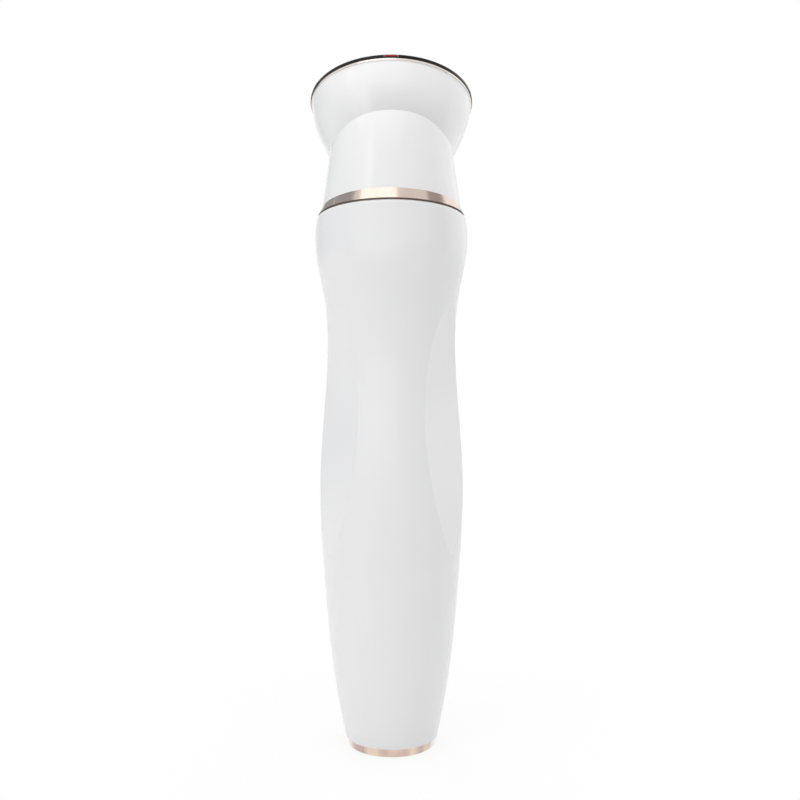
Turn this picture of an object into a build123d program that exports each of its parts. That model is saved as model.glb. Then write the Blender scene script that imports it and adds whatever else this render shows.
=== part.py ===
from build123d import *
import math
import os

# Facial toning device: a hand-held wand that stands on its base, with a round treatment face
# that leans forward on an elbow neck. Millimetres. +Z up, the treatment face and the buttons
# look towards -Y, and the origin is the middle of the flat underside.

# ---------------------------------------------------------------- driving dimensions
# Grip, an hourglass of revolution with its top cut on the slant
FOOT_R = 12.56
FOOT_Z = 2.5
LOWER_R = 16.05
LOWER_Z = 23.5
FLANK_R = 18.1
FLANK_Z = 46.5
BELLY_R = 19.15
BELLY_Z = 71.5
TAPER_R = 18.1
TAPER_DROP = 52.8
WAIST_R = 16.85
WAIST_DROP = 32.8
FLARE_R = 17.85
FLARE_DROP = 19.8
SHOULDER_R = 19.95
SHOULDER_DROP = 4.7
CREST_R = 19.45
BROW_R = 18.0
BROW_RISE = 12.0
RIM_Z = 144.8
RIM_TILT = 21.0
RIM_ROUND = 0.7
WALL = 2.0

# Finger scoops, one on each rear quarter
SCOOP_ANGLE = 62.0
SCOOP_DEPTH = 2.45
SCOOP_DEEP_Z = 103.0
SCOOP_TAIL_Z = 44.0
SCOOP_FADE_Z = 62.0
SCOOP_FADE_DEPTH = 0.6
SCOOP_BROW_Z = 116.0
SCOOP_BROW_DEPTH = 1.05
SCOOP_TOP_Z = 126.5
SCOOP_RUNOUT = 0.4

# Clamshell seam
LIP_DEPTH = 1.0
LIP_INSET = 1.0
FIT_GAP = 0.1

# Collar between grip and neck
COLLAR_RISE = 1.6
COLLAR_TILT = 24.2
COLLAR_R = 19.15
COLLAR_DEPTH = 18.75
COLLAR_LEAN = -0.5
COLLAR_WEB = 1.5
COLLAR_SPIGOT = 3.0
SPIGOT_WALL = 1.2
GASKET_T = 0.3
GASKET_INSET = 0.45
GASKET_W = 0.8
COLLAR_PORT_R = 7.5

# Neck, an elbow of ellipses: lean in Y, rise in Z, tilt, half width, half depth
NECK_R = 18.3
NECK_ELBOW = (
    (-0.4, 5.4, 28.5, 17.45, 19.6),
    (-0.9, 10.6, 32.5, 16.65, 19.0),
    (-0.8, 15.4, 33.0, 16.05, 17.1),
    (-1.5, 20.6, 36.0, 16.2, 15.3),
)

# Head: a bowl of revolution about the face axis. Stations down the bowl: step in from the face's
# edge, depth, lean
FACE_Y = -10.0
FACE_RISE = 29.85
FACE_TILT = 37.0
HEAD_R = 21.25
CUP_INSET = 0.35
CUP_FLARE = 7.0
CUP_BOWL = ((1.65, 8.0, 17.5), (5.0, 16.0, 25.0), (9.15, 23.2, 41.0))
CUP_DEPTH = 28.7
CUP_WALL = 1.8
CUP_PORT_R = 6.5
BEZEL_T = 1.1
BEZEL_W = 3.8
BEZEL_ROUND = 0.5
TRIM_T = 0.65
TRIM_INSET = 0.15
POST_R = 2.4
POST_SPREAD = 10.0
POST_Y = 3.0

# Treatment face
LIGHT_RING_W = 1.8
LIGHT_RING_T = 1.6
LENS_W = 3.5
LENS_T = 0.75
LENS_DEEP = 1.4
FACE_T = 1.1
ELECTRODE_COUNT = 4
ELECTRODE_FIRST = 45.0
ELECTRODE_R = 4.2
ELECTRODE_RISE = 1.2
ELECTRODE_FLANGE = 0.5
ELECTRODE_FLANGE_T = 0.7
ELECTRODE_GAP = 0.2
ELECTRODE_PIN_R = 1.0
SENSOR_R = 2.0
SENSOR_RISE = 0.4
FRAME_WALL = 0.6
FRAME_FLOOR_T = 0.8
LED_BOARD_DEPTH = 4.6
BOARD_T = 1.2
LED_COUNT = 12
LED_FIRST = 15.0
LED_SIZE = 1.6
LED_TALL = 0.6
HEAD_SCREW_GAP = 0.5

# Base
BASE_R = 12.1
BASE_ROUND = 0.8
PLATE_R = 10.2
PLATE_T = 2.1
BASE_LIP_R = 8.9
BASE_SPIGOT = 3.0
CONTACT_X = 4.0
CONTACT_R = 1.5
CONTACT_RECESS = 0.2
BASE_SCREW_Y = 5.8

# Control panel on the front
PANEL_W = 16.0
PANEL_L = 58.0
PANEL_Z = 95.0
PANEL_T = 1.0
PANEL_SINK = 0.12
POWER_Z = 80.0
POWER_R = 4.8
MODE_Z = 94.0
LEVEL_Z = 107.0
SMALL_R = 4.2
BUTTON_PROUD = 0.35
BUTTON_GAP = 0.2
BUTTON_FLANGE = 1.1
BUTTON_FLANGE_T = 0.8
BUTTON_PLAY = 0.12
STEM_R = 1.6
GUIDE_Z = 114.2
GUIDE_PITCH = 2.4
GUIDE_COUNT = 5
GUIDE_PIN_R = 0.6
GUIDE_BAR = 1.2
GUIDE_LEG_GAP = 1.3

# Main board and switches
BOARD_FRONT_Y = -8.6
BOARD_W = 20.0
BOARD_BOTTOM_Z = 20.0
BOARD_TOP_DROP = 14.0
SWITCH_W = 6.0
SWITCH_TALL = 3.0
PLUNGER_R = 1.0
PLUNGER_OUT = 0.7
PLUNGER_IN = 1.2
SWITCH_BORE_DEPTH = 2.1
RUN_GAP = 0.05

# Surface-mount parts: across, drop below the board's top, width, height, thickness
CHIPS = (
    (0.0, 68.8, 7.0, 7.0, 0.9),
    (-5.0, 80.8, 5.0, 5.0, 2.4),
    (4.5, 80.3, 4.0, 5.0, 1.0),
    (0.0, 92.8, 9.0, 6.0, 1.6),
    (-5.0, 102.8, 3.2, 2.5, 1.2),
    (4.0, 102.8, 6.0, 4.0, 2.2),
)
INDICATOR_LED = (1.0, 0.5, 1.6)

# Battery, chassis and motor
CELL_R = 9.1
CELL_L = 50.0
CELL_Y = 3.0
CELL_Z = 16.0
CRADLE_WALL = 1.4
CHASSIS_T = 1.8
CHASSIS_W = 18.0
FOOT_POST_R = 8.6
STRAP_T = 0.5
STRAP_W = 8.0
STRAP_Z = 30.0
MOTOR_R = 5.0
MOTOR_L = 12.0
MOTOR_Y = 4.0
MOTOR_DROP = 20.3
SHAFT_R = 0.75
SHAFT_IN = 1.8
SHAFT_OUT = 6.0
WEIGHT_R = 4.2
WEIGHT_L = 4.0
WEIGHT_GAP = 1.4
COIL_W = 11.0
COIL_TALL = 8.0
COIL_Z = 84.0

# Fasteners
SHELL_SCREW_X = 3.4
SHELL_SCREW_DROP = 24.8
BOSS_R = 2.4
SCREW_R = 0.8
HEAD_R_SCREW = 1.6
HEAD_T_SCREW = 1.1
THREAD_L = 6.0
PILOT_L = 4.0

# Ribbon cable
RIBBON_W = 8.0
RIBBON_T = 0.3
RIBBON_BEND = 3.0
SOCKET_T = 1.4

# ---------------------------------------------------------------- worked-out places
BOTTOM = (Align.CENTER, Align.CENTER, Align.MIN)
BIG = 4 * SHOULDER_R
REACH = RIM_Z + 2 * BIG

TAPER_Z = RIM_Z - TAPER_DROP
WAIST_Z = RIM_Z - WAIST_DROP
FLARE_Z = RIM_Z - FLARE_DROP
SHOULDER_Z = RIM_Z - SHOULDER_DROP
BROW_Z = RIM_Z + BROW_RISE
NECK_Z = RIM_Z + COLLAR_RISE
FACE_Z = RIM_Z + FACE_RISE
BOARD_BACK_Y = BOARD_FRONT_Y + BOARD_T
BOARD_TOP_Z = RIM_Z - BOARD_TOP_DROP
CHASSIS_BACK_Y = BOARD_BACK_Y + CHASSIS_T
SWITCH_FRONT_Y = BOARD_FRONT_Y - SWITCH_TALL
PLUNGER_FRONT_Y = SWITCH_FRONT_Y - PLUNGER_OUT
SHELL_SCREW_Z = RIM_Z - SHELL_SCREW_DROP
MOTOR_Z = RIM_Z - MOTOR_DROP
CUP_TOP = BEZEL_T + TRIM_T
LIGHT_RING_OUT = HEAD_R - BEZEL_W
LIGHT_RING_IN = LIGHT_RING_OUT - LIGHT_RING_W
CARRIER_BORE = LIGHT_RING_IN - 2 * FRAME_WALL
ELECTRODE_PITCH_R = CARRIER_BORE - ELECTRODE_GAP - ELECTRODE_FLANGE - ELECTRODE_R
HEAD_SCREW_R = CARRIER_BORE - HEAD_SCREW_GAP - HEAD_R_SCREW


def slanted(z, tilt, y=0.0):
    """Plane through (0, y, z) that rises towards the rear by tilt degrees."""
    a = math.radians(tilt)
    return Plane(origin=(0, y, z), x_dir=(1, 0, 0), z_dir=(0, -math.sin(a), math.cos(a)))


RIM = slanted(RIM_Z, RIM_TILT)
COLLAR_BASE = slanted(RIM_Z + GASKET_T, RIM_TILT)
NECK_BASE = slanted(NECK_Z, COLLAR_TILT)
FACE_PLANE = slanted(FACE_Z, FACE_TILT, FACE_Y)
FACE = FACE_PLANE.location


def below(part, plane):
    return split(part, bisect_by=plane, keep=Keep.BOTTOM)


def above(part, plane):
    return split(part, bisect_by=plane, keep=Keep.TOP)


def lowered(plane, drop):
    return plane.offset(-drop)


def plane_height(plane, y):
    """Height of a slanted plane at depth y."""
    normal = plane.z_dir
    return plane.origin.Z - (y - plane.origin.Y) * normal.Y / normal.Z


def post(radius, z0, z1, x=0.0, y=0.0):
    """Upright cylinder."""
    return Pos(x, y, z0) * Cylinder(radius, z1 - z0, align=BOTTOM)


def rod(radius, y0, y1, x=0.0, z=0.0):
    """Cylinder along Y."""
    return Pos(x, y0, z) * Rot(-90, 0, 0) * Cylinder(radius, y1 - y0, align=BOTTOM)


def block(x, y, z):
    """Box between two corners, each axis given as (low, high)."""
    size = [high - low for low, high in (x, y, z)]
    middle = [(high + low) / 2 for low, high in (x, y, z)]
    return Pos(*middle) * Box(*size)


def spun(outline):
    """Solid of revolution about Z from an outline of edges in the XZ plane."""
    return revolve(make_face(outline), Axis.Z)


def section_loop(points):
    """Closed straight outline in the XZ plane."""
    return Polyline(*[(x, 0, z) for x, z in points], close=True)


# ---------------------------------------------------------------- grip
def grip_curve(inset):
    """Half profile of the grip, drawn on its back so that its seam lies away from every cut."""
    stations = (
        (FOOT_R, FOOT_Z), (LOWER_R, LOWER_Z), (FLANK_R, FLANK_Z), (BELLY_R, BELLY_Z),
        (TAPER_R, TAPER_Z), (WAIST_R, WAIST_Z), (FLARE_R, FLARE_Z),
        (SHOULDER_R, SHOULDER_Z), (CREST_R, RIM_Z), (BROW_R, BROW_Z),
    )
    return Spline(*[(0, r - inset, z) for r, z in stations])


GRIP_LINE = grip_curve(0.0)


def grip_radius(z):
    """Outer radius of the uncut grip at height z, by halving along its curve."""
    low, high = 0.0, 1.0
    for _ in range(40):
        middle = (low + high) / 2
        if GRIP_LINE.position_at(middle).Z < z:
            low = middle
        else:
            high = middle
    return GRIP_LINE.position_at(low).Y


def scoop_cutter(side, inset):
    """Straight-drawn cutter whose inner face dips into one rear quarter of the grip."""
    angle = math.radians(SCOOP_ANGLE)
    across = Vector(side * math.sin(angle), math.cos(angle), 0)
    dips = (
        (SCOOP_TAIL_Z, -SCOOP_RUNOUT), (SCOOP_FADE_Z, SCOOP_FADE_DEPTH), (SCOOP_DEEP_Z, SCOOP_DEPTH),
        (SCOOP_BROW_Z, SCOOP_BROW_DEPTH), (SCOOP_TOP_Z, -SCOOP_RUNOUT),
    )
    floor = [(grip_radius(z) - dip - inset, z) for z, dip in dips]
    plane = Plane(origin=(0, 0, 0), x_dir=across, z_dir=across.cross(Vector(0, 0, 1)))
    curve = Spline(*floor)
    walls = Polyline(floor[-1], (BIG, floor[-1][1]), (BIG, floor[0][1]), floor[0])
    return extrude(plane * make_face([curve, walls]), amount=BIG, both=True)


def grip_form(inset, scooped=True):
    """The grip's solid outer form, or the same form drawn in by inset."""
    curve = grip_curve(inset)
    top, bottom = curve @ 1, curve @ 0
    walls = Polyline(top, (0, 0, top.Z), (0, 0, bottom.Z), bottom)
    form = spun([curve, walls])
    if scooped:
        form -= scoop_cutter(1, inset)
        form -= scoop_cutter(-1, inset)
    return form


def stadium(grow=0.0):
    """Upright rounded slot that runs through the front wall."""
    outline = SlotOverall(PANEL_L + 2 * grow, PANEL_W + 2 * grow, rotation=90)
    plane = Plane(origin=(0, 0, PANEL_Z), x_dir=(1, 0, 0), z_dir=(0, -1, 0))
    return extrude(plane * outline, amount=BIG)


BUTTONS = {
    "power": (POWER_Z, POWER_R),
    "mode": (MODE_Z, SMALL_R),
    "level": (LEVEL_Z, SMALL_R),
}
GUIDE_XS = [GUIDE_PITCH * (i - (GUIDE_COUNT - 1) / 2) for i in range(GUIDE_COUNT)]
SHELL_SCREW_XS = (-SHELL_SCREW_X, SHELL_SCREW_X)

OUTER = grip_form(0.0)
INNER = grip_form(WALL)
PANEL_SEAT = grip_form(PANEL_T)


def front_openings(extra):
    """Button holes and indicator holes that run through the front wall and the panel."""
    cuts = [rod(r + BUTTON_GAP, -BIG, BOARD_FRONT_Y, z=z) for z, r in BUTTONS.values()]
    cuts += [rod(GUIDE_PIN_R + extra, -BIG, BOARD_FRONT_Y, x=x, z=GUIDE_Z) for x in GUIDE_XS]
    return cuts


def half_space(front):
    low, high = (-BIG, 0) if front else (0, BIG)
    return block((-BIG, BIG), (low, high), (0, REACH))


def rim_rounded(shell):
    """Soft outer edge along the slanted top rim."""
    edges = [
        e for e in shell.edges()
        if abs(RIM.to_local_coords(e.center()).Z) < FIT_GAP
        and all(abs(RIM.to_local_coords(e @ t).Z) < FIT_GAP for t in (0.0, 0.5, 1.0))
    ]
    middles = [(e, e @ 0.5) for e in edges]
    outer = [e for e, m in middles if math.hypot(m.X, m.Y) > grip_radius(m.Z) - WALL / 2]
    return fillet(outer, RIM_ROUND)


def grip_wall():
    wall = below(OUTER - INNER, RIM)
    return rim_rounded(wall)


GRIP_WALL = grip_wall()


def front_shell():
    shell = GRIP_WALL & half_space(True)
    lip = (grip_form(LIP_INSET - FIT_GAP) - INNER) & block(
        (-BIG, BIG), (-LIP_DEPTH - FIT_GAP, 0), (0, REACH))
    shell -= lip
    shell -= stadium(FIT_GAP) - PANEL_SEAT
    for x in SHELL_SCREW_XS:
        shell += rod(BOSS_R, -WAIST_R, BOARD_FRONT_Y, x=x, z=SHELL_SCREW_Z) & PANEL_SEAT
    for x in SHELL_SCREW_XS:
        shell -= rod(SCREW_R + FIT_GAP, -BIG, BOARD_FRONT_Y, x=x, z=SHELL_SCREW_Z)
        shell -= rod(HEAD_R_SCREW + FIT_GAP, -BIG, screw_seat_y(), x=x, z=SHELL_SCREW_Z)
    for cut in front_openings(FIT_GAP):
        shell -= cut
    return shell


def screw_seat_y():
    """Seat of the shell screws' heads, which lie just under the panel at their outer edge."""
    edge = SHELL_SCREW_X + HEAD_R_SCREW
    seat_r = min(grip_radius(SHELL_SCREW_Z - HEAD_R_SCREW), grip_radius(SHELL_SCREW_Z)) - PANEL_T
    return -math.sqrt(seat_r ** 2 - edge ** 2) + HEAD_T_SCREW + FIT_GAP


def rear_shell():
    shell = GRIP_WALL & half_space(False)
    lip = (grip_form(LIP_INSET) - INNER) & block((-BIG, BIG), (-LIP_DEPTH, 0), (0, REACH))
    shell += below(lip, RIM)
    for x in SHELL_SCREW_XS:
        boss = rod(BOSS_R, CHASSIS_BACK_Y, BIG, x=x, z=SHELL_SCREW_Z) & grip_form(WALL / 2)
        pilot = rod(SCREW_R, CHASSIS_BACK_Y, grip_radius(SHELL_SCREW_Z) - WALL, x=x, z=SHELL_SCREW_Z)
        shell += boss
        shell -= pilot
    return shell


# ---------------------------------------------------------------- control panel and buttons
def control_panel():
    panel = stadium() & (grip_form(PANEL_SINK) - PANEL_SEAT)
    for cut in front_openings(FIT_GAP):
        panel -= cut
    return panel


def flange_front_y(z, radius):
    """Front of a button's flange, just clear of the inside of the front wall."""
    inner = min(grip_radius(z - radius), grip_radius(z), grip_radius(z + radius)) - WALL
    return -math.sqrt(inner ** 2 - radius ** 2) + BUTTON_PLAY


def button(z, radius):
    """Cap that follows the grip's surface, with a flange behind the wall and a stem."""
    flange_r = radius + BUTTON_FLANGE
    front = flange_front_y(z, flange_r)
    cap = rod(radius, -BIG, front, z=z) & grip_form(-BUTTON_PROUD, scooped=False)
    flange = rod(flange_r, front, front + BUTTON_FLANGE_T, z=z)
    stem = rod(STEM_R, front + BUTTON_FLANGE_T, PLUNGER_FRONT_Y, z=z)
    return cap + flange + stem


def switch_body(z):
    half = SWITCH_W / 2
    body = block((-half, half), (SWITCH_FRONT_Y, BOARD_FRONT_Y), (z - half, z + half))
    bore = rod(PLUNGER_R + RUN_GAP, SWITCH_FRONT_Y, SWITCH_FRONT_Y + SWITCH_BORE_DEPTH, z=z)
    return body - bore


def switch_plunger(z):
    return rod(PLUNGER_R, PLUNGER_FRONT_Y, SWITCH_FRONT_Y + PLUNGER_IN, z=z)


def indicator_guide():
    """Clear bar behind the wall with one pin for each indicator and two legs to the board."""
    half = GUIDE_XS[-1] + GUIDE_LEG_GAP + GUIDE_BAR
    inner = min(grip_radius(GUIDE_Z - GUIDE_BAR), grip_radius(GUIDE_Z + GUIDE_BAR)) - WALL
    front = -math.sqrt(inner ** 2 - half ** 2) + BUTTON_PLAY
    rows = (GUIDE_Z - GUIDE_BAR, GUIDE_Z + GUIDE_BAR)
    guide = block((-half, half), (front, front + GUIDE_BAR), rows)
    for side in (-1, 1):
        leg = sorted((side * half, side * (half - GUIDE_BAR)))
        guide += block(leg, (front, BOARD_FRONT_Y), rows)
    pins = [rod(GUIDE_PIN_R, -BIG, front, x=x, z=GUIDE_Z) for x in GUIDE_XS]
    for pin in pins:
        guide += pin & grip_form(PANEL_SINK)
    return guide


# ---------------------------------------------------------------- base
def base_ring():
    ring = spun(section_loop((
        (PLATE_R + FIT_GAP, 0), (BASE_R, 0), (FOOT_R, FOOT_Z),
        (FOOT_R - WALL - FIT_GAP, FOOT_Z), (FOOT_R - WALL - FIT_GAP, FOOT_Z + BASE_SPIGOT),
        (BASE_LIP_R, FOOT_Z + BASE_SPIGOT), (BASE_LIP_R, PLATE_T), (PLATE_R + FIT_GAP, PLATE_T),
    )))
    edge = ring.edges().filter_by(GeomType.CIRCLE).group_by(Axis.Z)[0].sort_by(SortBy.RADIUS)[-1]
    return fillet(edge, BASE_ROUND)


def base_plate():
    plate = post(PLATE_R, 0, PLATE_T)
    for x in (-CONTACT_X, CONTACT_X):
        plate -= post(CONTACT_R + FIT_GAP, 0, PLATE_T, x=x)
    for y in (-BASE_SCREW_Y, BASE_SCREW_Y):
        plate -= post(SCREW_R + FIT_GAP, 0, PLATE_T, y=y)
        plate -= post(HEAD_R_SCREW + FIT_GAP, 0, HEAD_T_SCREW + CONTACT_RECESS, y=y)
    return plate


def charge_contacts():
    contacts = Part()
    for x in (-CONTACT_X, CONTACT_X):
        pad = post(CONTACT_R, CONTACT_RECESS, PLATE_T, x=x)
        flange = post(CONTACT_R + WALL / 4, PLATE_T, PLATE_T + WALL / 2, x=x)
        contacts += pad + flange
    return contacts


def base_screws():
    screws = Part()
    for y in (-BASE_SCREW_Y, BASE_SCREW_Y):
        screws += post(HEAD_R_SCREW, CONTACT_RECESS, HEAD_T_SCREW + CONTACT_RECESS, y=y)
        screws += post(SCREW_R, HEAD_T_SCREW + CONTACT_RECESS, PLATE_T + THREAD_L, y=y)
    return screws


# ---------------------------------------------------------------- chassis, battery, motor
def chassis():
    """Cradle round the front of the cell, a foot on the base plate and a plate behind the board."""
    half = CELL_R + CRADLE_WALL
    cell_top = CELL_Z + CELL_L
    top = cell_top + CRADLE_WALL
    frame = block((-half, half), (BOARD_BACK_Y, CELL_Y), (BOARD_BOTTOM_Z, top))
    frame += post(FOOT_POST_R, PLATE_T, CELL_Z)
    frame += block((-FOOT_POST_R, FOOT_POST_R), (BOARD_BACK_Y, 0), (CELL_Z - WALL, BOARD_BOTTOM_Z))
    frame += block((-CHASSIS_W / 2, CHASSIS_W / 2), (BOARD_BACK_Y, CHASSIS_BACK_Y), (top, BOARD_TOP_Z))
    clamp = MOTOR_R + CRADLE_WALL
    clamp_z = (MOTOR_Z + CRADLE_WALL, MOTOR_Z + MOTOR_L - CRADLE_WALL)
    frame += block((-clamp, clamp), (CHASSIS_BACK_Y, MOTOR_Y), clamp_z)
    frame -= post(CELL_R, CELL_Z, cell_top, y=CELL_Y)
    frame -= post(MOTOR_R, MOTOR_Z, MOTOR_Z + MOTOR_L, y=MOTOR_Y)
    for x in SHELL_SCREW_XS:
        frame -= rod(SCREW_R + FIT_GAP, BOARD_BACK_Y, CHASSIS_BACK_Y, x=x, z=SHELL_SCREW_Z)
    for x in (-CONTACT_X, CONTACT_X):
        frame -= post(CONTACT_R + WALL / 2, PLATE_T, PLATE_T + WALL, x=x)
    for y in (-BASE_SCREW_Y, BASE_SCREW_Y):
        frame -= post(SCREW_R, PLATE_T, PLATE_T + THREAD_L, y=y)
    return frame


def battery_cell():
    cell = post(CELL_R, CELL_Z, CELL_Z + CELL_L - WALL / 2, y=CELL_Y)
    return cell + post(CELL_R / 3, CELL_Z + CELL_L - WALL / 2, CELL_Z + CELL_L, y=CELL_Y)


def battery_strap():
    """Band that runs round the back of the cell and ends on the cradle's two edges."""
    outer, z = CELL_R + STRAP_T, (STRAP_Z, STRAP_Z + STRAP_W)
    band = post(outer, *z, y=CELL_Y) - post(CELL_R, *z, y=CELL_Y)
    band &= block((-outer, outer), (CELL_Y, CELL_Y + outer), z)
    for side in (-1, 1):
        tab = sorted((side * CELL_R, side * (CELL_R + CRADLE_WALL)))
        band += block(tab, (CELL_Y, CELL_Y + STRAP_T), z)
    return band


def vibration_motor():
    motor = post(MOTOR_R, MOTOR_Z, MOTOR_Z + MOTOR_L, y=MOTOR_Y)
    top = MOTOR_Z + MOTOR_L
    return motor - post(SHAFT_R + RUN_GAP, top - SHAFT_IN - RUN_GAP, top, y=MOTOR_Y)


def motor_shaft():
    top = MOTOR_Z + MOTOR_L
    return post(SHAFT_R, top - SHAFT_IN, top + SHAFT_OUT, y=MOTOR_Y)


def vibration_weight():
    low = MOTOR_Z + MOTOR_L + WEIGHT_GAP
    disc = post(WEIGHT_R, low, low + WEIGHT_L, y=MOTOR_Y)
    half = block((-WEIGHT_R, WEIGHT_R), (MOTOR_Y, MOTOR_Y + WEIGHT_R), (low, low + WEIGHT_L))
    hub = post(2 * SHAFT_R, low, low + WEIGHT_L, y=MOTOR_Y)
    return (disc & half) + hub - post(SHAFT_R, low, low + WEIGHT_L, y=MOTOR_Y)


def boost_transformer():
    """Bobbin with two flanges, stood off the chassis plate."""
    half = COIL_W / 2
    y = (CHASSIS_BACK_Y, CHASSIS_BACK_Y + COIL_TALL)
    core = rod(half - CRADLE_WALL, *y, z=COIL_Z)
    for low in (y[0], y[1] - CRADLE_WALL):
        core += block((-half, half), (low, low + CRADLE_WALL), (COIL_Z - half, COIL_Z + half))
    return core


# ---------------------------------------------------------------- main board
def main_board():
    half = BOARD_W / 2
    board = block((-half, half), (BOARD_FRONT_Y, BOARD_BACK_Y), (BOARD_BOTTOM_Z, BOARD_TOP_Z))
    for x in SHELL_SCREW_XS:
        board -= rod(SCREW_R + FIT_GAP, BOARD_FRONT_Y, BOARD_BACK_Y, x=x, z=SHELL_SCREW_Z)
    return board


def board_chips():
    """Surface-mount parts on the front of the board."""
    chips = Part()
    for x, drop, w, h, t in CHIPS:
        z = BOARD_TOP_Z - drop
        chips += block((x - w / 2, x + w / 2), (BOARD_FRONT_Y - t, BOARD_FRONT_Y), (z - h / 2, z + h / 2))
    return chips


def indicator_leds():
    leds = Part()
    w, t, h = INDICATOR_LED
    for x in GUIDE_XS:
        leds += block((x - w / 2, x + w / 2), (BOARD_FRONT_Y - t, BOARD_FRONT_Y),
                      (GUIDE_Z - h / 2, GUIDE_Z + h / 2))
    return leds


def shell_screws():
    screws = Part()
    seat = screw_seat_y()
    for x in SHELL_SCREW_XS:
        screws += rod(HEAD_R_SCREW, seat - HEAD_T_SCREW, seat, x=x, z=SHELL_SCREW_Z)
        screws += rod(SCREW_R, seat, CHASSIS_BACK_Y + THREAD_L, x=x, z=SHELL_SCREW_Z)
    return screws


# ---------------------------------------------------------------- collar, neck, head
def slanted_oval(plane, half_width, half_depth, lean=0.0):
    """Oval on a slanted plane, with its sizes and its shift in Y as seen from above."""
    rise = plane.z_dir.Z
    return plane * Pos(0, lean / rise) * Ellipse(half_width, half_depth / rise)


def neck_form(inset):
    sections = [slanted_oval(NECK_BASE, NECK_R - inset, NECK_R - inset)]
    for lean, rise, tilt, half_width, half_depth in NECK_ELBOW:
        plane = slanted(NECK_Z + rise, tilt, lean)
        sections.append(plane * Ellipse(half_width - inset, half_depth - inset))
    return loft(sections)


def cup_form(inset):
    """The bowl drawn in by inset, in the face's own frame, open straight up to the face."""
    stations = [(CUP_INSET, CUP_TOP, CUP_FLARE), *CUP_BOWL, (HEAD_R, CUP_DEPTH, 90.0)]
    points, ways = [], []
    for step_in, depth, lean in stations:
        a = math.radians(lean)
        radius = HEAD_R - step_in - inset * math.cos(a)
        points.append((max(radius, 0), 0, -depth + inset * math.sin(a)))
        ways.append((-math.sin(a), 0, -math.cos(a)))
    curve = Spline(*points, tangents=ways)
    walls = Polyline(points[-1], (0, 0, 0), (points[0][0], 0, 0), points[0])
    return spun([curve, walls])


CUP_SOLID = below(FACE * cup_form(0.0), lowered(FACE_PLANE, CUP_TOP))
POSTS = ((-POST_SPREAD, POST_Y), (POST_SPREAD, POST_Y), (0.0, -POST_SPREAD))


def head_spots(radius, count, first):
    """Evenly spaced spots on a circle in the face's own frame."""
    step = 2 * math.pi / count
    angles = [math.radians(first) + i * step for i in range(count)]
    return [(radius * math.cos(a), radius * math.sin(a)) for a in angles]


HEAD_SCREWS = [(HEAD_SCREW_R, 0), (0, HEAD_SCREW_R), (-HEAD_SCREW_R, 0)]
ELECTRODES = head_spots(ELECTRODE_PITCH_R, ELECTRODE_COUNT, ELECTRODE_FIRST)
LED_SPOTS = head_spots((LIGHT_RING_IN + LIGHT_RING_OUT) / 2, LED_COUNT, LED_FIRST)


def collar_ring():
    """Wedge ring with a web for the neck screws and a spigot into the grip and the neck."""
    ring = loft([
        slanted_oval(COLLAR_BASE, COLLAR_R, COLLAR_DEPTH, COLLAR_LEAN),
        slanted_oval(NECK_BASE, NECK_R, NECK_R),
    ])
    inside = below(grip_form(WALL + FIT_GAP), COLLAR_BASE)
    web = above(inside, lowered(COLLAR_BASE, COLLAR_WEB))
    lower = above(inside, lowered(RIM, COLLAR_SPIGOT))
    upper = below(neck_form(WALL + FIT_GAP), NECK_BASE.offset(COLLAR_SPIGOT))
    bore = post(NECK_R - WALL - FIT_GAP - SPIGOT_WALL, 0, REACH)
    collar = ring + web + (lower - bore) + (upper - bore)
    collar -= post(COLLAR_PORT_R, 0, REACH)
    for x, y in POSTS:
        collar -= post(SCREW_R + FIT_GAP, 0, REACH, x=x, y=y)
    return collar


def collar_column(inset):
    """Upright column under the collar's lower edge, drawn in by inset."""
    oval = Ellipse(COLLAR_R - inset, COLLAR_DEPTH - inset)
    return Pos(0, COLLAR_LEAN) * extrude(oval, amount=REACH)


def collar_gasket():
    ring = collar_column(GASKET_INSET) - collar_column(GASKET_INSET + GASKET_W)
    return above(below(ring, COLLAR_BASE), RIM)


def pilot_top(y):
    """Upper end of the pilot holes in the bowl's posts."""
    return plane_height(NECK_BASE, y) + PILOT_L


def neck_screws():
    """Screws from inside the grip, through the collar's web, into the bowl's posts."""
    screws = Part()
    under = lowered(COLLAR_BASE, COLLAR_WEB)
    for x, y in POSTS:
        low = plane_height(under, y - HEAD_R_SCREW)
        screws += post(SCREW_R, low, pilot_top(y), x=x, y=y)
        screws += below(post(HEAD_R_SCREW, low - HEAD_T_SCREW, REACH, x=x, y=y), under)
    return screws


def neck_shell():
    return neck_form(0.0) - CUP_SOLID - neck_form(WALL)


def head_cup():
    """Bowl with bosses for the lamp board and posts down to the collar."""
    cup = CUP_SOLID
    for x, y in POSTS:
        cup += above(post(POST_R, 0, FACE_Z - CUP_DEPTH / 2, x=x, y=y), NECK_BASE)
    cavity = cup_form(CUP_WALL)
    for x, y in HEAD_SCREWS:
        cavity -= post(BOSS_R, -CUP_DEPTH, -LED_BOARD_DEPTH - BOARD_T, x=x, y=y)
        cavity += post(SCREW_R, -LED_BOARD_DEPTH - BOARD_T - THREAD_L, -LED_BOARD_DEPTH, x=x, y=y)
    cup -= FACE * cavity
    for x, y in POSTS:
        cup -= post(SCREW_R, 0, pilot_top(y), x=x, y=y)
    return cup - FACE * post(CUP_PORT_R, -2 * CUP_DEPTH, -CUP_DEPTH / 2)


def trim_ring():
    inner = LIGHT_RING_OUT + FRAME_WALL + FIT_GAP
    ring = post(HEAD_R - TRIM_INSET, -CUP_TOP, -BEZEL_T) - post(inner, -CUP_TOP, -BEZEL_T)
    return FACE * ring


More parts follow.
